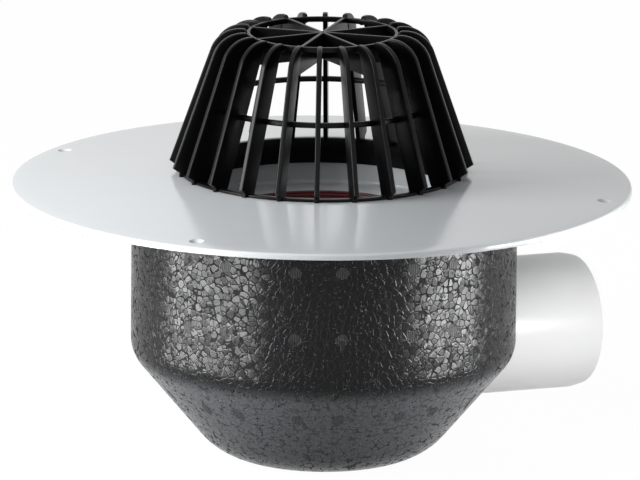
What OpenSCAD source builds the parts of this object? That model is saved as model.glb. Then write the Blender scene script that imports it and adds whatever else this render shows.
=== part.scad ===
// Flat roof drain. A pot with a dished membrane flange, a bend that leaves sideways, an insulation
// body moulded round them, a site cover in the throat and a leaf guard over the mouth.
// The origin is the middle of the flat base, +Z is up and the outlet points along +X.

/* [Flange] */
// Outside diameter of the flange
flange_d = 500; // [460:5:560]
// Thickness of the flange
flange_t = 5; // [4:0.5:6]
// Height of the flange's rim above the base
rim_h = 224.5; // [218:0.5:260]
// Height of the seat round the mouth above the rim
dish_h = 10; // [6:0.5:14]
// Width of the rounding along the rim's upper edge
rim_round = 2; // [1:0.25:2.5]

/* [Screw holes] */
// Distance from the flange's edge in to the middle of each screw hole
hole_edge = 15.5; // [12:0.5:30]
// Diameter of each screw hole
hole_d = 6; // [4:0.5:8]
// Diameter of the countersink at the flange's face
sink_d = 12; // [9:0.5:14]
// Angle from the outlet to the first hole
hole_1_angle = 40; // [20:0.5:60]
// Angle from the outlet to the second hole
hole_2_angle = 128.3; // [100:0.1:150]
// Angle from the outlet to the third hole
hole_3_angle = 220.4; // [190:0.1:250]
// Angle from the outlet to the fourth hole
hole_4_angle = 320; // [290:0.5:345]

/* [Pot] */
// Inside diameter of the pot's mouth
mouth_d = 224; // [210:1:240]
// Width of the flat seat round the mouth
seat_w = 7; // [5:0.5:10]
// Depth from the seat to the pot's floor
pot_depth = 36; // [32:0.5:44]
// Thickness of the pot's wall and floor
pot_wall = 4; // [3:0.5:5]
// Diameter of the throat in the floor
throat_d = 152; // [146:1:160]
// Depth of the throat's straight wall
throat_land = 6; // [5:0.5:8]
// Slope of the funnel under the throat
funnel_slope = 30; // [24:1:34]

/* [Bend] */
// Outside diameter of the bend and its spigot
pipe_d = 110; // [108:0.5:112]
// Wall thickness of the bend
pipe_wall = 3.2; // [2.6:0.2:4.2]
// Radius of the bend's centre line
bend_r = 60; // [58:1:64]
// How far the elbow's wall stands out from the straight parts, on each face
elbow_step = 0.9; // [0.7:0.1:1.2]
// Length of the thicker neck that shows between the insulation body and the spigot
neck_l = 1.5; // [1:0.5:6]
// Fall of the outlet below the horizontal
outlet_fall = 1.5; // [0.5:0.5:2.5]
// Distance from the drain's axis to the end of the outlet
outlet_reach = 229; // [200:1:245]
// Height of the outlet's centre at its end, above the base
outlet_h = 90; // [84:0.5:94]
// Length of the chamfer round the outlet's end
chamfer_l = 10; // [4:0.5:14]
// Depth of that chamfer, measured across the wall
chamfer_w = 2.2; // [1:0.1:2.5]

/* [Insulation body] */
// Diameter of the insulation body
body_d = 311; // [290:1:330]
// Diameter of the flat base
base_d = 112; // [100:1:130]
// Lean of the conical part away from the axis
cone_lean = 40; // [36:0.5:44]
// Height where the cone's line meets the wall's line
knee_h = 86.6; // [80:0.2:92]
// Radius between the wall and the cone
knee_r = 28; // [10:1:40]
// Distance of the body's axis from the drain's axis, towards the outlet
body_shift = 3; // [0:0.5:5]

/* [Leaf guard] */
// Height of the guard's fins above the seat
guard_h = 115.9; // [105:0.1:130]
// Number of fins
fin_count = 24; // [16:8:32]
// Thickness of each fin
fin_t = 3.9; // [2.6:0.1:4.4]
// Depth of each fin, from its outer edge inwards
fin_depth = 21; // [16:0.5:24]
// Lean of the fins towards the axis
fin_lean = 19.4; // [16:0.2:21]
// How far the fins' tips reach beyond the mouth's edge
tip_out = 10.4; // [8:0.1:14]
// Height of the tips above the seat
tip_h = 7; // [5:0.1:12]
// Radius of each fin's shoulder
shoulder_r = 25; // [18:0.5:30]
// Depth of each fin's arm, from its top down, where it meets the crown ring
arm_h = 7; // [6:0.5:10]
// Radius where each fin's inner edge turns in under its arm
armpit_r = 3; // [2:0.5:6]
// Rounding of the arm's end above the crown ring
arm_end_r = 3; // [2.2:0.1:4]
// How far the fins' feet stand out from the base ring
foot_out = 2.5; // [0.5:0.1:4]
// Turn of the guard in its seat
guard_turn = 3.3; // [0:0.1:14.5]

/* [Rings and spokes] */
// Length of each fin's level arm, from its shoulder in to the crown ring
arm_l = 5.3; // [4:0.1:12]
// Width of the crown ring
crown_w = 2.8; // [2:0.1:4]
// Height of the crown ring
crown_h = 4.4; // [3.6:0.1:5]
// Drop from the fins' tops to the crown ring's top
crown_drop = 1.8; // [1:0.1:2]
// Number of spokes inside the crown ring
spoke_count = 8; // [4:4:8]
// Thickness of each spoke
spoke_t = 2.8; // [2:0.1:3.6]
// Depth of each spoke
spoke_h = 21.6; // [16:0.2:26]
// Height of the hoop's middle above the seat
hoop_h = 56.6; // [40:0.1:70]
// Width and height of the hoop's section
hoop_t = 4.2; // [2.6:0.2:4.4]
// Distance from the fins' inner edges out to the hoop
hoop_set = 1; // [0.4:0.1:2]
// How far the guard's base ring reaches beyond the mouth's edge
base_ring_out = 2.7; // [2:0.1:6]
// Height of the base ring
base_ring_h = 2.4; // [2:0.1:5]
// Depth of the skirt that reaches into the pot
skirt_h = 18.5; // [12:0.5:22]
// Wall thickness of the skirt
skirt_wall = 2.2; // [1.8:0.1:3]

/* [Site cover] */
// Width of the cover's lip on the floor round the throat
lip_w = 3; // [2.5:0.5:8]
// Height of the lip above the pot's floor
lip_h = 1.6; // [1.2:0.1:2.4]
// Depth of the cover's dish below its lip
dish_depth = 2.6; // [2:0.1:3.6]
// Wall thickness of the cover
cover_wall = 2; // [1.6:0.1:2.4]

/* [Fits] */
// Clearance between pieces that slide into each other
fit = 0.3; // [0.2:0.05:0.5]
// Clearance round the leaf guard's skirt
skirt_fit = 0.8; // [0.5:0.1:1.5]

/* [Hidden] */
$fn = 96;
arc_steps = 10;
// how far a cut runs past the face that it opens
over = 1;

// Flange, pot and insulation body, from the seat down
flange_r = flange_d / 2;
body_r = body_d / 2;
mouth_r = mouth_d / 2;
pot_r = mouth_r + pot_wall;
seat_z = rim_h + dish_h;
seat_r = mouth_r + seat_w;
floor_z = seat_z - pot_depth;
throat_r = throat_d / 2;
hole_circle_r = flange_r - hole_edge;

// Bend: its straight top starts at the turn and ends just under the pot's shoulder
pipe_r = pipe_d / 2;
bore_r = pipe_r - pipe_wall;
turn = 90 - outlet_fall;
turn_x = bend_r * (1 - cos(turn));
outlet_l = (outlet_reach - turn_x) / cos(outlet_fall);
outlet_z = outlet_h + (outlet_reach - turn_x) * tan(outlet_fall);
turn_z = outlet_z + bend_r * sin(turn);
// where along the outlet the thicker neck ends and the spigot starts
spigot_start = (body_r + body_shift + neck_l - turn_x) / cos(outlet_fall);
socket_r = pipe_r + fit;
socket_z = turn_z + fit;
// length of each straight part that runs on into the thicker elbow
elbow_lap = 3;
// how far the neck stands out from the spigot
neck_step = elbow_step * 2 / 3;
land_z = floor_z - throat_land;
shoulder_z = land_z - (throat_r - bore_r) * tan(funnel_slope);

// Leaf guard, with heights above the seat
tip_r = mouth_r + tip_out;
foot_h = tip_h / 2;
base_ring_r = mouth_r + base_ring_out;
foot_r = base_ring_r + foot_out;
hoop_in = fin_r(hoop_h) - fin_depth + hoop_set;
crown_r = fin_r(guard_h - shoulder_r) - shoulder_r / cos(fin_lean) - arm_l;
crown_top = guard_h - crown_drop;
arm_under = guard_h - arm_h;
spoke_under = crown_top - spoke_h;
// how far a spoke runs on into the fin behind it
spoke_bite = 2;
skirt_r = mouth_r - skirt_fit;

// ---- helpers -------------------------------------------------------------------------------

// Points along an arc about [x, z] from angle a to angle b
function arc(x, z, r, a, b) =
    [for (i = [0 : arc_steps]) let (t = a + (b - a) * i / arc_steps) [x + r * cos(t), z + r * sin(t)]];

// Height of the flange's top face at radius r
function dish_z(r) = rim_h + dish_h * (flange_r - r) / (flange_r - seat_r);

// Radius of the fins' outer edge at height z above the seat
function fin_r(z) = tip_r - (z - tip_h) * tan(fin_lean);

// Arc that joins a leaning edge, set inwards by inset, to a level edge at height top
function shoulder(top, inset, r) =
    arc(fin_r(top - r) - inset - r / cos(fin_lean), top - r, r, fin_lean, 90);

function reversed(list) = [for (i = [len(list) - 1 : -1 : 0]) list[i]];

module ring(r_out, r_in, z, h) {
    rotate_extrude() translate([r_in, z]) square([r_out - r_in, h]);
}

// ---- insulation body -----------------------------------------------------------------------

// The outside outline, from the axis at the base round to the axis above the flange's underside
module body_outline() {
    base_r = base_d / 2;
    // the cone's line, carried down to the base
    toe_r = body_r - knee_h * tan(cone_lean);
    // the toe's radius is the one that leaves the base flat out to base_r
    toe_arc = (toe_r - base_r) / tan((90 - cone_lean) / 2);
    knee_z = knee_h + knee_r * tan(cone_lean / 2);
    polygon(concat(
        [[0, 0]],
        arc(base_r, toe_arc, toe_arc, -90, -cone_lean),
        arc(body_r - knee_r, knee_z, knee_r, -cone_lean, 0),
        [[body_r, seat_z - flange_t], [0, seat_z - flange_t]]
    ));
}

// Room for the flange's underside
module flange_room() {
    rotate_extrude() polygon([
        [0, seat_z - flange_t - fit], [seat_r, seat_z - flange_t - fit],
        [flange_r, rim_h - flange_t - fit], [flange_r, seat_z], [0, seat_z]
    ]);
}

// Room for the pot: its wall, floor, funnel and socket
module pot_room() {
    funnel_out = pot_wall / cos(funnel_slope);
    rotate_extrude() polygon([
        [0, seat_z], [pot_r + fit, seat_z], [pot_r + fit, floor_z - pot_wall],
        [throat_r + pot_wall + fit, floor_z - pot_wall],
        [throat_r + pot_wall + fit, land_z - funnel_out],
        [socket_r + pot_wall + fit, shoulder_z - funnel_out],
        [socket_r + pot_wall + fit, turn_z - elbow_lap], [0, turn_z - elbow_lap]
    ]);
}

// Puts its children, a section centred on the bore, round the elbow
module elbow() {
    translate([bend_r, 0, turn_z]) rotate([-90, 0, 180])
        rotate_extrude(angle = turn) translate([bend_r, 0]) children();
}

// Moves its children, which stand on z = 0, to the elbow's end and points them along the outlet
module along_outlet() {
    translate([turn_x, 0, outlet_z]) rotate([0, 90 + outlet_fall, 0]) children();
}

// Room for the bend from the pot's socket out to the spigot
module bend_room() {
    elbow() circle(r = pipe_r + elbow_step + fit);
    along_outlet() translate([0, 0, -elbow_lap])
        cylinder(r = pipe_r + neck_step + fit, h = spigot_start + elbow_lap);
}

module insulation_body() {
    color("#26282a") difference() {
        translate([body_shift, 0, 0]) rotate_extrude() body_outline();
        flange_room();
        pot_room();
        bend_room();
    }
}

// ---- bend ----------------------------------------------------------------------------------

module outlet_bend() {
    color("#eceef0") {
        // straight top that the pot's socket takes
        ring(pipe_r, bore_r, turn_z - elbow_lap, shoulder_z - fit - turn_z + elbow_lap);
        elbow() difference() {
            circle(r = pipe_r + elbow_step);
            circle(r = bore_r - elbow_step);
        }
        // thicker neck, then the spigot with its chamfered end
        along_outlet() rotate_extrude() polygon([
            [bore_r, -elbow_lap], [pipe_r + neck_step, -elbow_lap],
            [pipe_r + neck_step, spigot_start], [pipe_r, spigot_start],
            [pipe_r, outlet_l - chamfer_l], [pipe_r - chamfer_w, outlet_l], [bore_r, outlet_l]
        ]);
    }
}

// ---- pot with its flange -------------------------------------------------------------------

module pot_outline() {
    funnel_out = pot_wall / cos(funnel_slope);
    polygon(concat(
        // inside, from the seat down to the socket's end
        [[mouth_r, seat_z], [mouth_r, floor_z], [throat_r, floor_z], [throat_r, land_z],
         [bore_r, shoulder_z], [socket_r, shoulder_z], [socket_r, socket_z],
         // outside, back up to the flange
         [socket_r + pot_wall, socket_z], [socket_r + pot_wall, shoulder_z - funnel_out],
         [throat_r + pot_wall, land_z - funnel_out], [throat_r + pot_wall, floor_z - pot_wall],
         [pot_r, floor_z - pot_wall], [pot_r, seat_z - flange_t],
         // flange
         [seat_r, seat_z - flange_t], [flange_r, rim_h - flange_t]],
        arc(flange_r - rim_round, rim_h - rim_round, rim_round, 0, 90),
        [[seat_r, seat_z]]
    ));
}

module screw_hole() {
    sink_h = (sink_d - hole_d) / 2;
    translate([0, 0, -flange_t - over]) cylinder(d = hole_d, h = flange_t + over);
    translate([0, 0, -sink_h]) cylinder(d1 = hole_d, d2 = sink_d, h = sink_h);
    cylinder(d = sink_d, h = over);
}

module drain_pot() {
    color("#d5d9dc") difference() {
        rotate_extrude() pot_outline();
        for (a = [hole_1_angle, hole_2_angle, hole_3_angle, hole_4_angle])
            rotate([0, 0, a]) translate([hole_circle_r, 0, dish_z(hole_circle_r)]) screw_hole();
    }
}

// ---- site cover ----------------------------------------------------------------------------

module site_cover() {
    lip_z = floor_z + lip_h;
    lip_r = throat_r + lip_w;
    side_r = throat_r - fit;
    dish_z0 = lip_z - dish_depth;
    color("#a5171d") rotate_extrude() polygon([
        [0, dish_z0 - cover_wall], [side_r, dish_z0 - cover_wall], [side_r, floor_z],
        [lip_r, floor_z], [lip_r, lip_z], [side_r - cover_wall, lip_z],
        [side_r - cover_wall, dish_z0], [0, dish_z0]
    ]);
}

// ---- leaf guard ----------------------------------------------------------------------------

// One fin in the plane of its own thickness: x outwards, y up from the seat
module fin_outline() {
    crown_mid = crown_r - crown_w / 2;
    polygon(concat(
        [[fin_r(0) - fin_depth, 0], [foot_r, 0], [foot_r, foot_h], [tip_r, tip_h]],
        shoulder(guard_h, 0, shoulder_r),
        arc(crown_r + arm_end_r, guard_h - arm_end_r, arm_end_r, 90, 180),
        [[crown_mid, guard_h - arm_end_r], [crown_mid, arm_under]],
        reversed(shoulder(arm_under, fin_depth, armpit_r))
    ));
}

// One spoke, which runs from the axis under the crown ring into the fin behind it
module spoke_outline() {
    fin_mid = fin_depth - spoke_bite;
    polygon([
        [0, spoke_under], [fin_r(spoke_under) - fin_mid, spoke_under],
        [fin_r(arm_under) - fin_mid, arm_under], [crown_r - crown_w / 2, crown_top], [0, crown_top]
    ]);
}

module upright(t) {
    rotate([90, 0, 0]) translate([0, 0, -t / 2]) linear_extrude(t) children();
}

module leaf_guard() {
    color("#202224") translate([0, 0, seat_z]) rotate([0, 0, guard_turn]) {
        for (i = [0 : fin_count - 1])
            rotate([0, 0, i * 360 / fin_count]) upright(fin_t) fin_outline();
        for (i = [0 : spoke_count - 1])
            rotate([0, 0, i * 360 / spoke_count]) upright(spoke_t) spoke_outline();
        ring(crown_r, crown_r - crown_w, crown_top - crown_h, crown_h);
        ring(hoop_in + hoop_t, hoop_in, hoop_h - hoop_t / 2, hoop_t);
        ring(base_ring_r, skirt_r - skirt_wall, 0, base_ring_h);
        ring(skirt_r, skirt_r - skirt_wall, -skirt_h, skirt_h + base_ring_h);
    }
}

insulation_body();
outlet_bend();
drain_pot();
site_cover();
leaf_guard();
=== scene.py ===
"""Looks of a flat roof drain: leaf guard, flange and pot, site cover, outlet bend, foam body."""

import math

import bmesh
import bpy
import numpy as np
from bpy.props import FloatProperty, FloatVectorProperty, IntProperty, PointerProperty
from mathutils import Matrix, Vector


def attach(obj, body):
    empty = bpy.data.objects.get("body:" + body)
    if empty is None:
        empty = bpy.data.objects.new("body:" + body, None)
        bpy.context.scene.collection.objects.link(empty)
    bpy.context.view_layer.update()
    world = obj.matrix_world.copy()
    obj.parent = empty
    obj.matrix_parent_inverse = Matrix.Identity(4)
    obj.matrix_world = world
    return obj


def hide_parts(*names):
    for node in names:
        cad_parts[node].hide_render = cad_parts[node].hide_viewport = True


bl_info = {
    "name": "Flat roof drain",
    "version": (1, 0, 0),
    "blender": (4, 5, 0),
    "location": "View3D > Sidebar > Roof drain",
    "description": "Dresses the packed roof drain with finished surfaces, materials and a studio",
    "category": "Object",
}

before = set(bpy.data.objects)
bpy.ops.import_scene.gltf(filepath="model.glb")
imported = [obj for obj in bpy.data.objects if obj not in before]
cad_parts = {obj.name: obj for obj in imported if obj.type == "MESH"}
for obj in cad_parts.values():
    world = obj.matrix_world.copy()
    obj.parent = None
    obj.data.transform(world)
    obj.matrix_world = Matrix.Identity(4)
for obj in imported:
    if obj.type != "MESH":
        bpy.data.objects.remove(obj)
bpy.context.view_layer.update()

MM = 0.001
TURN = 2 * math.pi
# how many flats stand for a full turn
POT_SEGMENTS, GUARD_SEGMENTS, COVER_SEGMENTS, PIPE_SEGMENTS, HOLE_SEGMENTS = 360, 288, 180, 144, 48


def length(name, text, value):
    """A size in millimetres, kept by Blender as a distance in metres."""
    return FloatProperty(
        name=name, description=text, default=value * MM, unit="LENGTH", subtype="DISTANCE")


def angle(name, text, value):
    """An angle in degrees, kept by Blender in radians."""
    return FloatProperty(name=name, description=text, default=math.radians(value), subtype="ANGLE")


def number(name, text, value):
    """A plain ratio or strength."""
    return FloatProperty(name=name, description=text, default=value)


def colour(name, text, value):
    """A linear colour."""
    return FloatVectorProperty(
        name=name, description=text, default=value, size=3, subtype="COLOR", min=0, max=1)


# ---- settings ------------------------------------------------------------------------------


class DrainPotSettings(bpy.types.PropertyGroup):
    """Sizes and colour of the flange and the pot, moulded in one."""

    rim_radius: length("Rim radius", "Outside radius of the flange", 250)
    rim_height: length("Rim height", "Height of the flange's upper rim above the base", 224.5)
    seat_height: length("Seat height", "Height of the seat round the mouth above the base", 234.5)
    seat_radius: length("Seat radius", "Outside radius of the seat", 119)
    thickness: length("Flange thickness", "Thickness of the flange", 5)
    rim_round: length("Rim rounding", "Rounding along the rim's upper edge", 2)
    mouth_radius: length("Mouth radius", "Inside radius of the pot's mouth", 112)
    mouth_round: length("Mouth rounding", "Rounding along the mouth's edge", 1.2)
    floor_height: length("Floor height", "Height of the pot's floor above the base", 198.5)
    wall: length("Wall", "Thickness of the pot's wall", 4)
    throat_radius: length("Throat radius", "Radius of the throat in the floor", 76)
    land_height: length("Land height", "Height where the throat turns into the funnel", 192.5)
    shoulder_height: length("Shoulder height", "Height of the shoulder in the socket", 178.53)
    bore_radius: length("Bore radius", "Radius of the water way under the funnel", 51.8)
    socket_radius: length("Socket radius", "Inside radius of the socket", 55.3)
    socket_height: length("Socket height", "Height of the socket's lower end", 154.75)
    funnel_slope: angle("Funnel slope", "Slope of the funnel under the throat", 30)
    hole_circle: length("Hole circle", "Radius of the circle of screw holes", 234.5)
    hole_radius: length("Hole radius", "Radius of each screw hole", 3)
    sink_radius: length("Countersink radius", "Radius of each countersink at the face", 6)
    hole_1: angle("Screw hole 1", "Place of the first screw hole round the axis", 40)
    hole_2: angle("Screw hole 2", "Place of the second screw hole round the axis", 128.3)
    hole_3: angle("Screw hole 3", "Place of the third screw hole round the axis", 220.4)
    hole_4: angle("Screw hole 4", "Place of the fourth screw hole round the axis", 320)
    plastic: colour("Flange colour", "Colour of the pale plastic", (0.56, 0.585, 0.60))


class DrainGuardSettings(bpy.types.PropertyGroup):
    """Sizes and colour of the leaf guard."""

    seat_height: length("Seat height", "Height of the seat that the guard stands on", 234.5)
    turn: angle("Turn", "Turn of the guard in its seat", 3.3)
    fins: IntProperty(name="Fins", description="Number of fins", default=24, min=8)
    fin_outer: length("Fin edge thickness", "Thickness of a fin at its outer edge", 4.1)
    fin_inner: length("Fin back thickness", "Thickness of a fin at its inner edge", 3.6)
    fin_depth: length("Fin depth", "Depth of a fin from its outer edge inwards", 21)
    fin_round: length("Fin rounding", "Rounding along a fin's edges", 1.0)
    lean: angle("Lean", "Lean of the fins towards the axis", 19.4)
    tip_radius: length("Tip radius", "Radius out to the tips of the fins", 122.4)
    tip_height: length("Tip height", "Height of the tips above the seat", 7)
    foot_radius: length("Foot radius", "Radius out to the fins' feet", 117.2)
    height: length("Fin height", "Height of the fins above the seat", 115.9)
    shoulder_radius: length("Shoulder radius", "Radius of each fin's shoulder", 25)
    arm_height: length("Arm depth", "Depth of a fin's arm at the crown", 7)
    arm_end: length("Arm end rounding", "Rounding of the arm's end at the crown", 3)
    crown_radius: length("Crown radius", "Outside radius of the crown ring", 61)
    crown_width: length("Crown width", "Width of the crown ring", 2.8)
    crown_top: length("Crown top", "Height of the crown ring's top above the seat", 114.1)
    crown_height: length("Crown height", "Height of the crown ring's section", 4.4)
    spokes: IntProperty(name="Spokes", description="Number of spokes, even", default=8, min=2)
    spoke_thickness: length("Spoke thickness", "Thickness of a spoke", 2.8)
    spoke_height: length("Spoke depth", "Depth of a spoke", 21.6)
    hoop_height: length("Hoop height", "Height of the hoop's middle above the seat", 56.6)
    hoop_section: length("Hoop section", "Width and height of the hoop", 4.2)
    base_radius: length("Base ring radius", "Outside radius of the base ring", 114.7)
    base_height: length("Base ring height", "Height of the base ring", 2.4)
    skirt_radius: length("Skirt radius", "Outside radius of the skirt", 111.2)
    skirt_wall: length("Skirt wall", "Wall thickness of the skirt", 2.2)
    skirt_depth: length("Skirt depth", "Depth of the skirt below the seat", 18.5)
    plastic: colour("Guard colour", "Colour of the black plastic", (0.0025, 0.0026, 0.0029))


class DrainCoverSettings(bpy.types.PropertyGroup):
    """Sizes and colour of the site cover."""

    floor_height: length("Floor height", "Height of the pot's floor above the base", 198.5)
    lip_radius: length("Lip radius", "Outside radius of the cover's lip", 79)
    lip_height: length("Lip height", "Height of the lip above the floor", 1.6)
    side_radius: length("Side radius", "Radius of the part that drops into the throat", 75.7)
    wall: length("Wall", "Wall thickness of the cover", 2)
    dish_depth: length("Dish depth", "Depth of the dish below the lip", 2.6)
    # painted shade: the red is darkened below its own tone for the shade under the guard
    plastic: colour("Cover colour", "Colour of the red plastic", (0.06, 0.0025, 0.004))


class DrainBendSettings(bpy.types.PropertyGroup):
    """Sizes and colour of the outlet bend."""

    radius: length("Pipe radius", "Outside radius of the spigot", 55)
    wall: length("Wall", "Wall thickness of the bend", 3.2)
    bend_radius: length("Bend radius", "Radius of the bend's centre line", 60)
    fall: angle("Fall", "Fall of the outlet below the horizontal", 1.5)
    top_height: length("Top height", "Height of the bend's upper end above the base", 178.53)
    turn_height: length("Turn height", "Height where the bend starts to turn", 154.45)
    reach: length("Reach", "Distance from the drain's axis to the spigot's end", 229)
    chamfer_length: length("Chamfer length", "Length of the chamfer at the spigot's end", 10)
    chamfer_depth: length("Chamfer depth", "Depth of the chamfer across the wall", 2.2)
    plastic: colour("Pipe colour", "Colour of the white plastic", (0.88, 0.88, 0.88))


class DrainFoamSettings(bpy.types.PropertyGroup):
    """Looks of the insulation body's bead foam."""

    bead: length("Bead size", "Mean size of a bead", 5.3)
    dome: length("Bead height", "How far a bead's middle stands out from its seams", 0.16)
    tilt: number("Bead tilt", "How far each bead leans, as a slope", 0.075)
    smooth_below: length("Smooth below", "Height under which the mould left the foam smoother", 74)
    bead_above: length("Beads above", "Height over which the beads stand out fully", 92)
    seam_width: number("Seam width", "Half the width of a seam, as a share of a bead", 0.05)
    round_width: number("Rounding width", "Width of a bead's rounding, as a share of a bead", 0.10)
    gap_depth: number("Gap depth", "Depth of the gaps, as a share of a bead's height", 0.8)
    skin_relief: number("Skin relief", "Share of the beads' height left in the smoother foam", 0.18)
    pits: number("Pits", "Places for a small pit along a metre", 280)
    pit_depth: length("Pit depth", "Depth of the small pits", 0.5)
    grain_depth: length("Grain depth", "Height of the fine grain", 0.06)
    vent_radius: length("Vent radius", "Radius of each vent mark left by the mould", 5.3)
    vent_slot: length("Vent slot", "Spacing of the slots in a vent mark", 1.9)
    vent_depth: length("Vent slot depth", "Depth of the slots in a vent mark", 0.2)
    vent_upper: length("Upper vents", "Height of the upper row of vent marks", 186)
    vent_lower: length("Lower vents", "Height of the lower row of vent marks", 131.4)
    vent_cone: length("Cone vents", "Height of the row of vent marks on the cone", 60)
    vent_turn: angle("Vent turn", "Place of a pair of vent marks round the axis", -115.5)
    vent_step: angle("Vent step", "Angle from one pair of vent marks to the next", 36)
    vent_spread: angle("Vent spread", "Half the angle between the two marks of a pair", 7)
    foam: colour("Foam colour", "Colour of the black foam", (0.003, 0.003, 0.0034))
    smooth_foam: colour("Smooth foam colour", "Colour of the smooth skin", (0.032, 0.0345, 0.037))
    # painted shade: the colour that the seams, gaps and pits fall to
    painted_gap_shade: colour("Gap colour", "Colour deep in the gaps and pits", (0.0006, 0.0006, 0.0007))


class DrainStageSettings(bpy.types.PropertyGroup):
    """Camera and lights."""

    azimuth: angle("Azimuth", "Direction of the camera round the drain", -25)
    elevation: angle("Elevation", "Height of the camera over the horizon", 13.3)
    roll: angle("Roll", "Roll of the camera", 0.5)
    distance: length("Distance", "Distance of the camera", 8000)
    low_left: number("Low left light", "Power in watts of each low lamp at the left", 0.13)
    low_right: number("Low right light", "Power in watts of each low lamp at the right", 0.145)
    pipe_light: number("Pipe light", "Power in watts of the narrow lamp on the white pipe", 0.089)
    key_light: number("Key light", "Power in watts of the upper light at the left", 19)
    top_light: number("Top light", "Power in watts of the light above", 4.9)
    world_light: number("World light", "Strength of the even light all round", 0.30)


# ---- surfaces ------------------------------------------------------------------------------


class Shell:
    """Points on a grid of rows and columns, with each direction open or closed on itself."""

    def __init__(self, points, wrap_rows=False, wrap_columns=False, caps=False):
        self.points = points
        self.wrap_rows = wrap_rows
        self.wrap_columns = wrap_columns
        self.caps = caps

    def faces(self):
        """Joins each grid point to its next row and column, and closes the end rows if asked."""
        rows, columns = self.points.shape[:2]
        index = np.arange(rows * columns).reshape(rows, columns)
        if self.wrap_rows:
            index = np.concatenate([index, index[:1]], 0)
        if self.wrap_columns:
            index = np.concatenate([index, index[:, :1]], 1)
        quads = np.stack([index[:-1, :-1], index[1:, :-1], index[1:, 1:], index[:-1, 1:]], -1)
        faces = quads.reshape(-1, 4).tolist()
        if self.caps:
            faces += [list(range(columns)), list(range((rows - 1) * columns, rows * columns))[::-1]]
        return faces


def make_mesh(name, shells, sharp=40):
    """One mesh from several shells: poles and seams are merged and faces turned outwards.

    Edges that turn by more than sharp, in degrees, are shown sharp.
    """
    points, faces, start = [], [], 0
    for shell in shells:
        flat = shell.points.reshape(-1, 3)
        points.append(flat)
        faces += [[i + start for i in face] for face in shell.faces()]
        start += len(flat)
    mesh = bpy.data.meshes.new(name)
    mesh.from_pydata(np.concatenate(points).tolist(), [], faces)
    work = bmesh.new()
    work.from_mesh(mesh)
    bmesh.ops.remove_doubles(work, verts=work.verts, dist=0.001 * MM)
    bmesh.ops.recalc_face_normals(work, faces=work.faces)
    work.to_mesh(mesh)
    work.free()
    mesh.polygons.foreach_set("use_smooth", [True] * len(mesh.polygons))
    mesh.set_sharp_from_angle(angle=math.radians(sharp))
    return mesh


def add_piece(name, mesh, material, node):
    """Shows the mesh as a piece that stands for a CAD node."""
    piece = bpy.data.objects.new(name, mesh)
    bpy.context.scene.collection.objects.link(piece)
    mesh.materials.append(material)
    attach(piece, "root")
    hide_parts(node)
    return piece


def arc(x, z, radius, start, end, steps=8):
    """Points on a circle about (x, z), from one angle in degrees to another."""
    turn = np.radians(np.linspace(start, end, steps + 1))
    return np.stack([x + radius * np.cos(turn), z + radius * np.sin(turn)], -1)


def line(*points):
    """The given corners of a profile as rows of radius and height."""
    return np.array(points, float)


def spaced(profile, step):
    """Adds evenly spaced points so that no stretch of the profile is longer than step."""
    pieces = []
    for a, b in zip(profile[:-1], profile[1:]):
        parts = max(1, int(np.ceil(np.linalg.norm(b - a) / step)))
        pieces.append(a + (b - a) * np.linspace(0, 1, parts, endpoint=False)[:, None])
    return np.concatenate(pieces + [profile[-1:]])


def revolve(profile, segments):
    """A profile of radius r and height z turned about the upright axis: (r cos t, r sin t, z)."""
    turn = np.linspace(0, TURN, segments, endpoint=False)
    radius, height = profile[:, 0][:, None], profile[:, 1][:, None]
    return np.stack([radius * np.cos(turn), radius * np.sin(turn), height + 0 * turn], -1)


def rounded_section(inner, outer, low, high, rounding):
    """A rectangle of radius and height with rounded corners, as a closed profile."""
    r = rounding
    return np.concatenate([
        arc(inner + r, low + r, r, 180, 270, 4),
        arc(outer - r, low + r, r, 270, 360, 4),
        arc(outer - r, high - r, r, 0, 90, 4),
        arc(inner + r, high - r, r, 90, 180, 4),
    ])


def turned_about_axis(points, turn):
    """The points turned about the upright axis."""
    c, s = math.cos(turn), math.sin(turn)
    x, y, z = points[..., 0], points[..., 1], points[..., 2]
    return np.stack([c * x - s * y, s * x + c * y, z], -1)


def bar_between(outer, inner, thick_outer, thick_inner, rounding):
    """A flat bar between matching rows of (x, z) along its outer and its inner edge.

    Its section at each row is a closed loop: the place goes from the outer edge to the inner edge
    by a fraction, y is plus or minus half the thickness there, and each corner is a quarter circle.
    """
    turn = np.radians(np.linspace(0, 90, 6))
    # how far each point of a corner lies in from the edge, and in from the flat side
    from_edge, from_side = rounding * (1 - np.sin(turn)), rounding * (1 - np.cos(turn))
    width = np.linalg.norm(inner - outer, axis=1)[:, None]
    near = np.minimum(from_edge / width, 0.5)
    edge_first = near[:, ::-1]
    fraction = np.concatenate([edge_first, 1 - near, 1 - edge_first, near], 1)
    inset = np.concatenate([from_side[::-1], from_side, from_side[::-1], from_side])
    sign = np.repeat([1, -1], 2 * len(turn))
    thick = thick_outer + (thick_inner - thick_outer) * fraction
    across = sign * (thick / 2 - inset)
    place = outer[:, None, :] * (1 - fraction[..., None]) + inner[:, None, :] * fraction[..., None]
    return np.stack([place[..., 0], across, place[..., 1]], -1)


def evenly(path, count):
    """The path's points again, at count even steps along its length."""
    step = np.linalg.norm(np.diff(path, axis=0), axis=1)
    along = np.concatenate([[0], np.cumsum(step)])
    at = np.linspace(0, along[-1], count)
    return np.stack([np.interp(at, along, path[:, i]) for i in range(path.shape[1])], -1)


# ---- shapes of the pieces ------------------------------------------------------------------


def fin_edge(guard, z):
    """Radius of the fins' outer edge at height z over the seat: a straight line leaning inwards."""
    return guard.tip_radius - (z - guard.tip_height) * math.tan(guard.lean)


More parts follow.
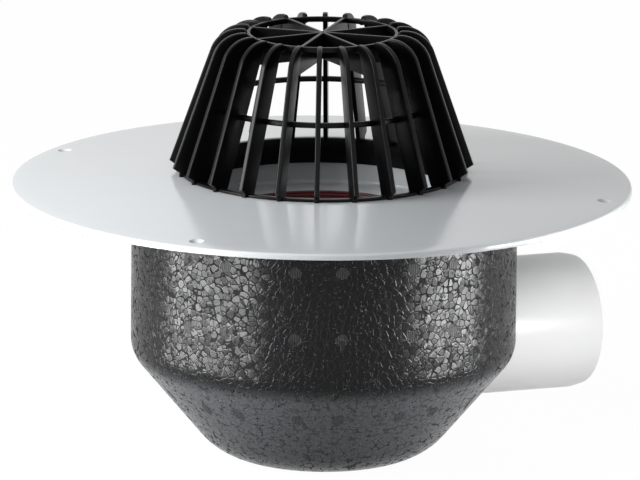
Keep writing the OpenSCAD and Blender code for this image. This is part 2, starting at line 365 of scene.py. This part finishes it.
def fin_shell(guard):
    """One fin along +x: its outer and inner edges are carried up from the foot to the crown.

    Both edges are straight and lean inwards, and turn over in a quarter circle, less the lean, to
    the level arm that ends in the crown ring.
    """
    rows_up, rows_over = 10, 30
    inside_turn = 3 * MM
    top, lean = guard.height, math.degrees(guard.lean)
    turn_z = top - guard.shoulder_radius
    turn_x = fin_edge(guard, turn_z) - guard.shoulder_radius / math.cos(guard.lean)
    under = top - guard.arm_height
    into_crown = guard.crown_radius - guard.crown_width / 2
    low = np.array([0, guard.tip_height / 2, guard.tip_height])
    high = np.linspace(guard.tip_height, turn_z, rows_up)[1:]
    heights = np.concatenate([low, high])
    out_x = np.concatenate([[guard.foot_radius] * 2, fin_edge(guard, heights[2:])])
    outer_low = np.stack([out_x, heights], -1)
    inner_low = np.stack([fin_edge(guard, heights) - guard.fin_depth, heights], -1)
    outer_high = np.concatenate([
        arc(turn_x, turn_z, guard.shoulder_radius, lean, 90, 16),
        arc(guard.crown_radius + guard.arm_end, top - guard.arm_end, guard.arm_end, 90, 180, 6),
        line((into_crown, top - guard.arm_end)),
    ])
    inside_z = under - inside_turn
    inside_x = fin_edge(guard, inside_z) - guard.fin_depth - inside_turn / math.cos(guard.lean)
    inner_high = np.concatenate([
        inner_low[-1:],
        arc(inside_x, inside_z, inside_turn, lean, 90, 6),
        line((into_crown, under)),
    ])
    outer = np.concatenate([outer_low, evenly(outer_high, rows_over)[1:]])
    inner = np.concatenate([inner_low, evenly(inner_high, rows_over)[1:]])
    bar = bar_between(outer, inner, guard.fin_outer, guard.fin_inner, guard.fin_round)
    return Shell(bar, wrap_columns=True, caps=True)


def spoke_shell(guard):
    """Two opposite spokes in one flat bar on edge, from fin to fin through the axis."""
    into_fin, into_arm, rounding = 2 * MM, 5 * MM, 0.6 * MM
    under = guard.crown_top - guard.spoke_height
    reach_low = fin_edge(guard, under) - guard.fin_depth + into_fin
    reach_top = guard.crown_radius + into_arm
    share = np.linspace(-1, 1, 9)
    top = np.stack([share * reach_top, guard.crown_top + 0 * share], -1)
    bottom = np.stack([share * reach_low, under + 0 * share], -1)
    thick = guard.spoke_thickness
    return Shell(bar_between(top, bottom, thick, thick, rounding), wrap_columns=True, caps=True)


def guard_shells(guard):
    """Fins and spokes turned round the axis, and the rings that carry them."""
    crown_round, hoop_round, base_round = 0.6 * MM, 0.8 * MM, 0.7 * MM
    hoop_overlap = 1 * MM
    shells = []
    # a bar of spokes runs right across, so half a turn of them is enough
    fin, spoke = fin_shell(guard), spoke_shell(guard)
    for bar, count, in_a_turn in (
            (fin, guard.fins, guard.fins), (spoke, guard.spokes // 2, guard.spokes)):
        for i in range(count):
            points = turned_about_axis(bar.points, guard.turn + i * TURN / in_a_turn)
            shells.append(Shell(points, wrap_columns=True, caps=True))
    crown = rounded_section(
        guard.crown_radius - guard.crown_width, guard.crown_radius,
        guard.crown_top - guard.crown_height, guard.crown_top, crown_round)
    half = guard.hoop_section / 2
    hoop_in = fin_edge(guard, guard.hoop_height) - guard.fin_depth + hoop_overlap
    hoop = rounded_section(
        hoop_in, hoop_in + guard.hoop_section,
        guard.hoop_height - half, guard.hoop_height + half, hoop_round)
    skirt_in, r = guard.skirt_radius - guard.skirt_wall, base_round
    base = np.concatenate([
        arc(skirt_in + r, -guard.skirt_depth + r, r, 180, 270, 4),
        arc(guard.skirt_radius - r, -guard.skirt_depth + r, r, 270, 360, 4),
        line((guard.skirt_radius, 0)),
        arc(guard.base_radius - r, r, r, 270, 360, 4),
        arc(guard.base_radius - r, guard.base_height - r, r, 0, 90, 4),
        arc(skirt_in + r, guard.base_height - r, r, 90, 180, 4),
    ])
    for section in (crown, hoop, base):
        shells.append(Shell(revolve(section, GUARD_SEGMENTS), wrap_rows=True, wrap_columns=True))
    for shell in shells:
        shell.points[..., 2] += guard.seat_height
    return shells


def pot_shell(pot):
    """The pot and its flange: one closed profile turned about the axis.

    It runs from the socket up through the throat, over the floor, the mouth and the flange, and
    back down along the outside. The flange's face is a cone from the seat down to the rim.
    """
    seat_edge, seat_drop, lower_round = 2 * MM, 0.1 * MM, 0.8 * MM
    wall_drop = pot.wall / math.cos(pot.funnel_slope)
    flange_low, rim_low = pot.seat_height - pot.thickness, pot.rim_height - pot.thickness
    outer = pot.mouth_radius + pot.wall
    r, m = pot.rim_round, pot.mouth_round
    floor_round = 3 * m
    fall, run = pot.seat_height - pot.rim_height, pot.rim_radius - pot.seat_radius
    cone = math.degrees(math.atan2(fall, run))
    rim_z = pot.rim_height - r
    profile = np.concatenate([
        line((pot.socket_radius, pot.socket_height), (pot.socket_radius, pot.shoulder_height),
             (pot.bore_radius, pot.shoulder_height)),
        line((pot.throat_radius, pot.land_height)),
        arc(pot.throat_radius + m, pot.floor_height - m, m, 180, 90, 4),
        arc(pot.mouth_radius - floor_round, pot.floor_height + floor_round, floor_round,
            270, 360, 6),
        arc(pot.mouth_radius + m, pot.seat_height - m, m, 180, 90, 4),
        line((pot.seat_radius - seat_edge, pot.seat_height),
             (pot.seat_radius, pot.seat_height - seat_drop)),
        arc(pot.rim_radius - r, rim_z, r, 90 - cone, 0, 8),
        arc(pot.rim_radius - lower_round, rim_low + lower_round, lower_round, 0, -90, 4),
        line((pot.seat_radius, flange_low), (outer, flange_low),
             (outer, pot.floor_height - pot.wall),
             (pot.throat_radius + pot.wall, pot.floor_height - pot.wall),
             (pot.throat_radius + pot.wall, pot.land_height - wall_drop),
             (pot.socket_radius + pot.wall, pot.shoulder_height - wall_drop),
             (pot.socket_radius + pot.wall, pot.socket_height),
             (pot.socket_radius, pot.socket_height)),
    ])
    loop = spaced(profile, step=12 * MM)[:-1]
    return Shell(revolve(loop, POT_SEGMENTS), wrap_rows=True, wrap_columns=True)


def screw_hole_shell(pot, turn):
    """A screw hole with its countersink, as a profile turned about its own upright axis.

    It reaches past both faces of the flange, because it is what is cut away.
    """
    below, above = 8 * MM, 2 * MM
    share = (pot.rim_radius - pot.hole_circle) / (pot.rim_radius - pot.seat_radius)
    face = pot.rim_height + share * (pot.seat_height - pot.rim_height)
    depth = pot.sink_radius - pot.hole_radius
    profile = line(
        (0, face - below), (pot.hole_radius, face - below), (pot.hole_radius, face - depth),
        (pot.sink_radius, face), (pot.sink_radius, face + above), (0, face + above))
    points = revolve(profile, HOLE_SEGMENTS)
    points[..., 0] += pot.hole_circle
    return Shell(turned_about_axis(points, turn), wrap_columns=True)


def cover_shell(cover):
    """The site cover: a shallow dish with a lip, as a profile turned about the axis."""
    lip = cover.floor_height + cover.lip_height
    low = lip - cover.dish_depth
    inner, r = cover.side_radius - cover.wall, 0.6 * MM
    profile = np.concatenate([
        line((0, low - cover.wall), (cover.side_radius, low - cover.wall),
             (cover.side_radius, cover.floor_height), (cover.lip_radius - r, cover.floor_height)),
        arc(cover.lip_radius - r, lip - r, r, 0, 90, 4),
        arc(inner + r, lip - r, r, 90, 180, 4),
        arc(inner - 2 * r, low + 2 * r, 2 * r, 0, -90, 4),
        line((0, low)),
    ])
    return Shell(revolve(spaced(profile, step=10 * MM), COVER_SEGMENTS), wrap_columns=True)


def bend_shell(bend):
    """A round tube carried along the bend's centre line: down, round a quarter turn, and out.

    At each step the section is a circle about the centre line in the plane across it:
    place + radius * (cos t * sideways + sin t * y). It runs along the inside and back outside.
    """
    out_turn = math.pi / 2 - bend.fall
    bend_x = bend.bend_radius * (1 - math.cos(out_turn))
    run = (bend.reach - bend_x) / math.cos(bend.fall)
    turns = np.concatenate([[0.0], np.linspace(0, out_turn, 25), [out_turn] * 3])
    ahead, rise = np.zeros(len(turns)), np.zeros(len(turns))
    ahead[-3:] = run / 2, run - bend.chamfer_length, run
    rise[0] = bend.top_height - bend.turn_height
    x = bend.bend_radius * (1 - np.cos(turns)) + ahead * math.cos(bend.fall)
    z = bend.turn_height - bend.bend_radius * np.sin(turns) - ahead * math.sin(bend.fall) + rise
    outside = np.full(len(turns), bend.radius)
    outside[-1] -= bend.chamfer_depth
    inside = np.full(len(turns), bend.radius - bend.wall)
    x, z, turns = (np.concatenate([v, v[::-1]]) for v in (x, z, turns))
    radius = np.concatenate([inside, outside[::-1]])[:, None]
    round_t = np.linspace(0, TURN, PIPE_SEGMENTS, endpoint=False)
    side, across = np.cos(round_t) * radius, np.sin(round_t) * radius
    px = x[:, None] + side * np.cos(turns)[:, None]
    pz = z[:, None] + side * np.sin(turns)[:, None]
    return Shell(np.stack([px, across, pz], -1), wrap_rows=True, wrap_columns=True)


# ---- materials -----------------------------------------------------------------------------


class Finish:
    """A small builder for a material's nodes."""

    def __init__(self, name):
        self.material = bpy.data.materials.new(name)
        self.material.use_nodes = True
        self.tree = self.material.node_tree
        self.shader = self.tree.nodes["Principled BSDF"]

    def node(self, kind, **settings):
        """Adds a node with the given settings."""
        made = self.tree.nodes.new(kind)
        for key, value in settings.items():
            setattr(made, key, value)
        return made

    def link(self, source, target):
        """Links an output to an input."""
        self.tree.links.new(source, target)

    def feed(self, value, socket):
        """Gives an input its value, which is another node's output or plain numbers."""
        if isinstance(value, bpy.types.NodeSocket):
            self.link(value, socket)
        else:
            socket.default_value = value

    def math(self, operation, a, b=None):
        """A Math node of one or two inputs, each an output or a number."""
        made = self.node("ShaderNodeMath", operation=operation)
        self.feed(a, made.inputs[0])
        if b is not None:
            self.feed(b, made.inputs[1])
        return made.outputs[0]

    def vector(self, operation, a, b):
        """A Vector Math node of two inputs, each an output or three numbers."""
        made = self.node("ShaderNodeVectorMath", operation=operation)
        self.feed(a, made.inputs[0])
        self.feed(b, made.inputs[1])
        return made.outputs["Value" if operation == "DOT_PRODUCT" else "Vector"]

    def far(self, a, b):
        """How far two steps at a right angle lead: the root of a squared plus b squared."""
        squares = self.math("ADD", self.math("MULTIPLY", a, a), self.math("MULTIPLY", b, b))
        return self.math("SQRT", squares)

    def ramp(self, value, low, high, low_out=0.0, high_out=1.0):
        """A smooth step from low_out to high_out as value goes from low to high."""
        made = self.node("ShaderNodeMapRange", interpolation_type="SMOOTHSTEP")
        made.inputs["From Min"].default_value = low
        made.inputs["From Max"].default_value = high
        made.inputs["To Min"].default_value = low_out
        made.inputs["To Max"].default_value = high_out
        self.link(value, made.inputs["Value"])
        return made.outputs["Result"]

    def place(self):
        """The point on the object, in metres."""
        return self.node("ShaderNodeTexCoord").outputs["Object"]

    def split(self, value):
        """The three parts of a vector or a colour."""
        made = self.node("ShaderNodeSeparateXYZ")
        self.link(value, made.inputs[0])
        return made.outputs

    def cells(self, feature, scale):
        """The outputs of a Voronoi node, with about scale cells in a metre."""
        made = self.node("ShaderNodeTexVoronoi", feature=feature)
        made.inputs["Scale"].default_value = scale
        self.link(self.place(), made.inputs["Vector"])
        return made.outputs

    def noise(self, scale, detail=2.0):
        """Soft noise from 0 to 1, with about scale waves in a metre."""
        made = self.node("ShaderNodeTexNoise")
        made.inputs["Scale"].default_value = scale
        made.inputs["Detail"].default_value = detail
        self.link(self.place(), made.inputs["Vector"])
        return made.outputs["Fac"]

    def mix(self, factor, first, second):
        """A colour between first and second by the factor."""
        made = self.node("ShaderNodeMix", data_type="RGBA")
        self.link(factor, made.inputs[0])
        for socket, value in ((made.inputs[6], first), (made.inputs[7], second)):
            self.feed(value if isinstance(value, bpy.types.NodeSocket) else (*value, 1), socket)
        return made.outputs[2]

    def bump(self, height):
        """Raises the surface by a height in metres."""
        made = self.node("ShaderNodeBump")
        made.inputs["Strength"].default_value = 1.0
        made.inputs["Distance"].default_value = 1.0
        self.link(height, made.inputs["Height"])
        self.link(made.outputs["Normal"], self.shader.inputs["Normal"])

    def set(self, **values):
        """Constant values on the shader's own sockets."""
        for key, value in values.items():
            self.shader.inputs[key.replace("_", " ")].default_value = value


def moulded_plastic(name, tint, roughness, level, grain, grain_scale):
    """A plain moulded plastic with a grain: its height in metres, and its waves in a metre."""
    finish = Finish(name)
    finish.set(Base_Color=(*tint, 1), Roughness=roughness, Specular_IOR_Level=level)
    finish.bump(finish.math("MULTIPLY", finish.noise(grain_scale), grain))
    return finish.material


def vent_marks(finish, foam, x, y, z):
    """Round slotted marks of the mould's vents, in pairs round the axis and in three rows.

    The sideways distance is the angle from the nearest mark, folded about each pair's middle, times
    the radius there; the upright distance is to the nearest row. A mark is where both together are
    under its radius. Its slots are a sine across it, flattened past the crest either way. Gives
    the mark's share and the height of its slots.
    """
    soft_edge, crest = 0.5 * MM, 0.5
    turn = finish.math("SUBTRACT", finish.math("ARCTAN2", y, x), foam.vent_turn)
    folded = finish.math("PINGPONG", turn, foam.vent_step / 2)
    aside = finish.math("SUBTRACT", folded, foam.vent_spread)
    aside = finish.math("MULTIPLY", aside, finish.far(x, y))
    rows = [finish.math("ABSOLUTE", finish.math("SUBTRACT", z, height))
            for height in (foam.vent_upper, foam.vent_lower, foam.vent_cone)]
    upright = finish.math("MINIMUM", finish.math("MINIMUM", rows[0], rows[1]), rows[2])
    away = finish.far(aside, upright)
    mark = finish.ramp(away, foam.vent_radius - soft_edge, foam.vent_radius, 1.0, 0.0)
    wave = finish.math("SINE", finish.math("MULTIPLY", aside, TURN / foam.vent_slot))
    slots = finish.math("MULTIPLY", finish.ramp(wave, -crest, crest), mark)
    return mark, finish.math("MULTIPLY", slots, foam.vent_depth)


def bead_tilt(finish, beads, slope):
    """Leans each bead a little its own way.

    The lean is the bead's random colour, less a half, dotted with the way from its middle.
    """
    away = finish.vector("SUBTRACT", finish.place(), beads["Position"])
    lean = finish.vector("SUBTRACT", beads["Color"], (0.5, 0.5, 0.5))
    return finish.math("MULTIPLY", finish.vector("DOT_PRODUCT", away, lean), slope)


def pressed_beads(finish, foam):
    """Beads pressed together: the share of whole bead at a point, and the height there in metres.

    Cells stand for the beads, and widths and distances in a cell are shares of a bead's size. A
    bead's height is 2 s less s squared, where s goes from 0 at its edge to 1 at the end of its
    rounding. Beads meet in hair-fine seams, and gaps open at some of the corners between three of
    them, in patches. Each pair of numbers is where a smooth step starts and ends.
    """
    from_middle, from_edge, gap_step = (0.50, 0.66), (0.04, 0.17), (0.10, 0.45)
    patch_waves, patch_step, painted_seam_shade = 150, (0.42, 0.62), 0.4
    beads = finish.cells("F1", 1 / foam.bead)
    edge = finish.cells("DISTANCE_TO_EDGE", 1 / foam.bead)["Distance"]
    seam = finish.ramp(edge, 0.0, foam.seam_width, low_out=painted_seam_shade)
    corner = finish.math(
        "SUBTRACT", finish.ramp(beads["Distance"], *from_middle), finish.ramp(edge, *from_edge))
    loose = finish.ramp(finish.noise(patch_waves, 1), *patch_step)
    gap = finish.ramp(finish.math("MULTIPLY", corner, loose), *gap_step, 1.0, 0.0)
    inward = finish.math("MINIMUM", finish.math("DIVIDE", edge, foam.round_width), 1.0)
    round_off = finish.math("MULTIPLY", inward, finish.math("SUBTRACT", 2.0, inward))
    relief = finish.math("ADD", round_off, finish.math("MULTIPLY", gap, foam.gap_depth))
    relief = finish.math("MULTIPLY", relief, foam.dome)
    relief = finish.math("ADD", relief, bead_tilt(finish, beads, foam.tilt))
    # painted shade: the share of whole bead darkens the colour in the seams and the gaps
    return finish.math("MULTIPLY", seam, gap), relief


def small_pits(finish, foam):
    """Some cells of a finer pattern are small pits: 0 in a pit and 1 on the skin between them."""
    pit_step, chance_step = (0.14, 0.30), (0.30, 0.36)
    dents = finish.cells("F1", foam.pits)
    spared = finish.ramp(finish.split(dents["Color"])[0], *chance_step, 1.0, 0.0)
    return finish.math("MAXIMUM", finish.ramp(dents["Distance"], *pit_step), spared)


def bead_foam(foam):
    """Black bead foam: pressed beads on the wall, a smoother skin below, pits and vent marks."""
    grain_waves, mottle_waves, mottle_step, mottle_left = 1500, 420, (0.30, 0.62), 0.62
    least_below, vent_painted_shade = 0.6, 0.5
    body_step, gap_rough, bead_rough, vent_rough = (0.2, 0.9), 0.8, 0.22, 0.42
    finish = Finish("Black bead foam")
    x, y, z = finish.split(finish.place())
    wall = finish.ramp(z, foam.smooth_below, foam.bead_above)
    below = finish.math("SUBTRACT", 1.0, wall)
    mark, slots = vent_marks(finish, foam, x, y, z)
    body, relief = pressed_beads(finish, foam)
    skin = small_pits(finish, foam)

    # the beads flatten in the vent marks and in the smooth skin below; the pits are everywhere
    relief = finish.math("MULTIPLY", relief, finish.math("SUBTRACT", 1.0, mark))
    left = finish.ramp(z, foam.smooth_below, foam.bead_above, low_out=foam.skin_relief)
    relief = finish.math("MULTIPLY", relief, left)
    pits = finish.math("MULTIPLY", skin, foam.pit_depth)
    grain = finish.math("MULTIPLY", finish.noise(grain_waves), foam.grain_depth)
    relief = finish.math("ADD", relief, slots)
    finish.bump(finish.math("ADD", relief, finish.math("ADD", pits, grain)))

    # painted shade darkens the seams, gaps and pits; the colour is full on the beads, and mottled
    mottle = finish.ramp(finish.noise(mottle_waves), *mottle_step, low_out=mottle_left)
    full = finish.math("MAXIMUM", body, finish.math("MULTIPLY", below, least_below))
    full = finish.math("MULTIPLY", finish.math("MAXIMUM", full, mark), skin)
    # painted shade: the vent marks on the smooth skin below are darkened by half
    sunk = finish.math("MULTIPLY", finish.math("MULTIPLY", mark, below), vent_painted_shade)
    full = finish.math("MULTIPLY", full, mottle)
    full = finish.math("MULTIPLY", full, finish.math("SUBTRACT", 1.0, sunk))
    shade = finish.mix(wall, foam.smooth_foam, foam.foam)
    finish.link(finish.mix(full, foam.painted_gap_shade, shade), finish.shader.inputs["Base Color"])

    # seams, gaps and vent marks are duller than the beads
    rough = finish.ramp(body, *body_step, gap_rough, bead_rough)
    rough = finish.math("MAXIMUM", rough, finish.math("MULTIPLY", mark, vent_rough))
    finish.link(rough, finish.shader.inputs["Roughness"])
    finish.set(Specular_IOR_Level=0.14)
    return finish.material


def seen_directly(tree):
    """An output that is 1 for rays from the camera, off a gloss or through glass, else 0."""
    rays = tree.nodes.new("ShaderNodeLightPath")
    seen = rays.outputs["Is Camera Ray"]
    for name in ("Is Glossy Ray", "Is Transmission Ray"):
        either = tree.nodes.new("ShaderNodeMath")
        either.operation = "MAXIMUM"
        tree.links.new(seen, either.inputs[0])
        tree.links.new(rays.outputs[name], either.inputs[1])
        seen = either.outputs[0]
    return seen


# ---- operators -----------------------------------------------------------------------------


class DRAIN_OT_leaf_guard(bpy.types.Operator):
    """Adds the leaf guard with its fins, spokes and rings."""

    bl_idname = "drain.leaf_guard"
    bl_label = "Leaf guard"

    def execute(self, context):
        guard = context.scene.drain_guard
        finish = moulded_plastic(
            "Black satin plastic", guard.plastic,
            roughness=0.28, level=0.13, grain=0.03 * MM, grain_scale=1400)
        mesh = make_mesh("Leaf guard", guard_shells(guard))
        add_piece("guard_moulding", mesh, finish, "leaf_guard")
        return {"FINISHED"}


class DRAIN_OT_drain_pot(bpy.types.Operator):
    """Adds the flange and pot, with its screw holes cut through."""

    bl_idname = "drain.drain_pot"
    bl_label = "Flange and pot"
    # how many degrees an edge turns by where it is shown sharp, before and after the holes are cut
    rim_sharp = 50
    hole_sharp = 30

    def execute(self, context):
        pot = context.scene.drain_pot
        finish = moulded_plastic(
            "Pale glossy plastic", pot.plastic,
            roughness=0.16, level=0.5, grain=0.12 * MM, grain_scale=45)
        mesh = make_mesh("Flange and pot", [pot_shell(pot)], self.rim_sharp)
        holes = [screw_hole_shell(pot, a) for a in (pot.hole_1, pot.hole_2, pot.hole_3, pot.hole_4)]
        cutter = bpy.data.objects.new("Screw holes", make_mesh("Screw holes", holes))
        piece = add_piece("flange_and_pot", mesh, finish, "drain_pot")
        context.scene.collection.objects.link(cutter)
        cut = piece.modifiers.new("Screw holes", "BOOLEAN")
        cut.object, cut.solver = cutter, "EXACT"
        context.view_layer.update()
        evaluated = piece.evaluated_get(context.evaluated_depsgraph_get())
        result = bpy.data.meshes.new_from_object(evaluated)
        # the edges of the cut holes are new, so they are marked sharp here
        result.set_sharp_from_angle(angle=math.radians(self.hole_sharp))
        piece.modifiers.clear()
        piece.data = result
        bpy.data.objects.remove(cutter)
        return {"FINISHED"}


class DRAIN_OT_site_cover(bpy.types.Operator):
    """Adds the red site cover on the pot's floor."""

    bl_idname = "drain.site_cover"
    bl_label = "Site cover"

    def execute(self, context):
        cover = context.scene.drain_cover
        finish = moulded_plastic(
            "Red glossy plastic", cover.plastic,
            roughness=0.2, level=0.25, grain=0.02 * MM, grain_scale=300)
        mesh = make_mesh("Site cover", [cover_shell(cover)])
        add_piece("red_cover", mesh, finish, "site_cover")
        return {"FINISHED"}


class DRAIN_OT_outlet_bend(bpy.types.Operator):
    """Adds the white outlet bend with its chamfered spigot."""

    bl_idname = "drain.outlet_bend"
    bl_label = "Outlet bend"

    def execute(self, context):
        bend = context.scene.drain_bend
        finish = moulded_plastic(
            "White plastic", bend.plastic,
            roughness=0.3, level=0.5, grain=0.02 * MM, grain_scale=200)
        mesh = make_mesh("Outlet bend", [bend_shell(bend)])
        add_piece("white_bend", mesh, finish, "outlet_bend")
        return {"FINISHED"}


class DRAIN_OT_foam_body(bpy.types.Operator):
    """Gives the insulation body its bead foam."""

    bl_idname = "drain.foam_body"
    bl_label = "Foam body"

    def execute(self, context):
        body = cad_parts["insulation_body"]
        body.data.materials.clear()
        body.data.materials.append(bead_foam(context.scene.drain_foam))
        return {"FINISHED"}


class DRAIN_OT_stage(bpy.types.Operator):
    """Adds the floor, the soft lights, the white surroundings and the camera."""

    bl_idname = "drain.stage"
    bl_label = "Stage"

    def execute(self, context):
        stage = context.scene.drain_stage
        self.add_floor()
        self.add_lights(context.scene, stage)
        self.add_world(context.scene, stage)
        self.add_camera(context.scene, stage)
        context.scene.view_settings.view_transform = "Standard"
        return {"FINISHED"}

    def add_floor(self):
        """A floor that shows nearly plain white to the camera; its lit share keeps a faint shadow.

        It lies a little below the drain's base, so that the two faces don't coincide.
        """
        plain_share, plain_white = 0.955, 1.02
        half, sunk = 6.0, 0.1 * MM
        finish = Finish("White floor")
        finish.set(Base_Color=(0.8, 0.8, 0.8, 1), Roughness=0.9, Specular_IOR_Level=0.0)
        glow = finish.node("ShaderNodeEmission")
        glow.inputs["Strength"].default_value = plain_white
        mixed = finish.node("ShaderNodeMixShader")
        plain = finish.math("MULTIPLY", seen_directly(finish.tree), plain_share)
        finish.link(plain, mixed.inputs[0])
        finish.link(finish.shader.outputs[0], mixed.inputs[1])
        finish.link(glow.outputs[0], mixed.inputs[2])
        finish.link(mixed.outputs[0], finish.tree.nodes["Material Output"].inputs["Surface"])
        mesh = bpy.data.meshes.new("Floor")
        corners = [(half * i, half * j, -sunk) for i, j in ((-1, -1), (1, -1), (1, 1), (-1, 1))]
        mesh.from_pydata(corners, [], [(0, 1, 2, 3)])
        mesh.materials.append(finish.material)
        floor = bpy.data.objects.new("floor", mesh)
        bpy.context.scene.collection.objects.link(floor)

    def add_lights(self, scene, stage):
        """Narrow low lamps at both sides, one for the pipe, and two larger soft boxes higher up."""
        view = math.degrees(stage.azimuth)

        def around(turn, far, height):
            """The point at a distance and a height, turned about the drain's axis."""
            a = math.radians(turn)
            return Vector((far * math.sin(a), -far * math.cos(a), height))

        # name, place, width and height, power, the point it is aimed at, and its spread in degrees
        lamps = [
            ("Pipe light", around(view + 55, 0.90, 0.20), (0.12, 0.12), stage.pipe_light,
             (0.20, -0.05, 0.09), 26),
            ("Upper left soft box", around(view - 64, 1.10, 0.62), (0.60, 0.60), stage.key_light,
             (0, 0, 0.23), 180),
            ("Top soft box", around(view - 20, 0.6, 2.0), (1.6, 1.2), stage.top_light,
             (0, 0, 0.17), 180),
        ]
        # the foam mirrors each low lamp to the camera from the spot half way round to it; the lamps
        # are near and narrow, so that the pipe and the flange's rim stay outside their beams
        wall_radius, wall_height, away, drop = 0.155, 0.13, 0.45, -0.02
        for bend in (-96, -80, -64, -48, 66, 80, 94):
            spot = around(view + bend / 2, wall_radius, wall_height)
            power = stage.low_left if bend < 0 else stage.low_right
            place = spot + around(view + bend, away, drop)
            lamps.append(("Low lamp", place, (0.12, 0.18), power, spot, 28))
        for name, location, size, power, aim, spread in lamps:
            lamp = bpy.data.lights.new(name, "AREA")
            lamp.shape, lamp.energy, lamp.spread = "RECTANGLE", power, math.radians(spread)
            lamp.size, lamp.size_y = size
            light = bpy.data.objects.new(name, lamp)
            light.location = location
            light.rotation_euler = (Vector(aim) - location).to_track_quat("-Z", "Y").to_euler()
            scene.collection.objects.link(light)
            light.visible_camera = False

    def add_world(self, scene, stage):
        """An even light all round that looks plain white to the camera and in glossy faces."""
        world = bpy.data.worlds.new("White surroundings")
        world.use_nodes = True
        scene.world = world
        nodes, links = world.node_tree.nodes, world.node_tree.links
        bright = nodes.new("ShaderNodeMapRange")
        bright.inputs["To Min"].default_value = stage.world_light
        bright.inputs["To Max"].default_value = 1.0
        links.new(seen_directly(world.node_tree), bright.inputs["Value"])
        links.new(bright.outputs["Result"], nodes["Background"].inputs["Strength"])
        nodes["Background"].inputs["Color"].default_value = (1, 1, 1, 1)

    def add_camera(self, scene, stage):
        """A long lens at the given turn and height, aimed under the flange.

        Its length follows from the distance and from the width of the view at the drain.
        """
        film, view_width = 36, 515.2979 * MM
        rim = Vector((0, 0, 224.5 * MM))
        aim_left, aim_below = 1.0467 * MM, 46.21578 * MM
        a, e = stage.azimuth, stage.elevation
        back = Vector((math.sin(a) * math.cos(e), -math.cos(a) * math.cos(e), math.sin(e)))
        right = Vector((math.cos(a), math.sin(a), 0))
        up = back.cross(right)
        r, u = math.cos(stage.roll), math.sin(stage.roll)
        right, up = right * r + up * u, up * r - right * u
        target = rim - right * aim_left - up * aim_below
        camera = bpy.data.objects.new("Camera", bpy.data.cameras.new("Camera"))
        camera.data.sensor_width = film
        camera.data.lens = film * stage.distance / view_width
        camera.data.clip_end = 100
        turn = Matrix((right, up, back)).transposed().to_4x4()
        turn.translation = target + back * stage.distance
        camera.matrix_world = turn
        scene.collection.objects.link(camera)
        scene.camera = camera


class DRAIN_PT_panel(bpy.types.Panel):
    """Lists the drain's pieces in the sidebar."""

    bl_idname = "DRAIN_PT_panel"
    bl_label = "Roof drain"
    bl_space_type = "VIEW_3D"
    bl_region_type = "UI"
    bl_category = "Roof drain"

    def draw(self, context):
        for operator in OPERATORS:
            self.layout.operator(operator.bl_idname)


SETTINGS = {
    "drain_pot": DrainPotSettings,
    "drain_guard": DrainGuardSettings,
    "drain_cover": DrainCoverSettings,
    "drain_bend": DrainBendSettings,
    "drain_foam": DrainFoamSettings,
    "drain_stage": DrainStageSettings,
}
OPERATORS = (
    DRAIN_OT_drain_pot,
    DRAIN_OT_leaf_guard,
    DRAIN_OT_site_cover,
    DRAIN_OT_outlet_bend,
    DRAIN_OT_foam_body,
    DRAIN_OT_stage,
)


def register():
    """Adds the settings, the operators and the panel."""
    for name, group in SETTINGS.items():
        bpy.utils.register_class(group)
        setattr(bpy.types.Scene, name, PointerProperty(type=group))
    for operator in OPERATORS:
        bpy.utils.register_class(operator)
    bpy.utils.register_class(DRAIN_PT_panel)


def unregister():
    """Takes the panel, the operators and the settings away again."""
    bpy.utils.unregister_class(DRAIN_PT_panel)
    for operator in reversed(OPERATORS):
        bpy.utils.unregister_class(operator)
    for name, group in SETTINGS.items():
        delattr(bpy.types.Scene, name)
        bpy.utils.unregister_class(group)


def main():
    """Adds the settings and operators, then builds every piece in order."""
    register()
    for operator in OPERATORS:
        group, name = operator.bl_idname.split(".")
        getattr(getattr(bpy.ops, group), name)()


if __name__ == "__main__":
    main()
